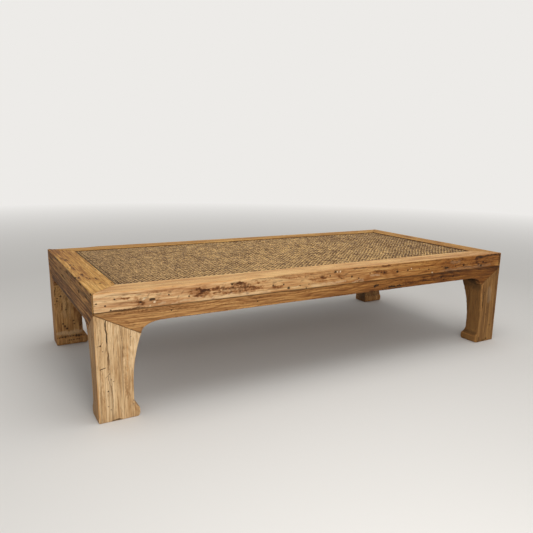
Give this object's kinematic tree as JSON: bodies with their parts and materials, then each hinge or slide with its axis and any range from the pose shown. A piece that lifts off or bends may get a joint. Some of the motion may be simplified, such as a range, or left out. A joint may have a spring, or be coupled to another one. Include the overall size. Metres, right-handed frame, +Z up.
{
  "type": "kang table",
  "caption": "Long low table with a mitred frame round a woven cane top, aprons flush under it and square legs that hollow down to hoof feet.",
  "frame": {"origin": "on the floor, under the middle of the top", "axes": "+X along the table to the right, +Y from the front to the back, +Z up"},
  "size_m": [1.64, 0.82, 0.377],
  "materials": {
    "frame_wood": "old elm, hand planed, worn wax and dirt in the pores",
    "apron_wood": "old elm, hand planed, browner than the frame",
    "leg_wood": "old elm, weathered and checked along the grain",
    "panel_wood": "old softwood boards, sawn and left bare",
    "batten_wood": "old elm, planed and left bare",
    "joint_wood": "split hardwood, left bare",
    "cane": "split cane, twill woven, polished by use"
  },
  "bodies": {
    "root": {"long_rail_front": "frame_wood", "long_rail_back": "frame_wood", "short_rail_left": "frame_wood", "short_rail_right": "frame_wood", "apron_front": "apron_wood", "apron_back": "apron_wood", "apron_left": "apron_wood", "apron_right": "apron_wood", "leg_front_left": "leg_wood", "leg_front_right": "leg_wood", "leg_back_left": "leg_wood", "leg_back_right": "leg_wood", "panel_board_1": "panel_wood", "panel_board_2": "panel_wood", "panel_board_3": "panel_wood", "batten_1": "batten_wood", "batten_2": "batten_wood", "batten_3": "batten_wood", "batten_4": "batten_wood", "woven_mat": "cane", "corner_pegs": "joint_wood", "apron_loose_tenons": "joint_wood"}
  },
  "joints": []
}
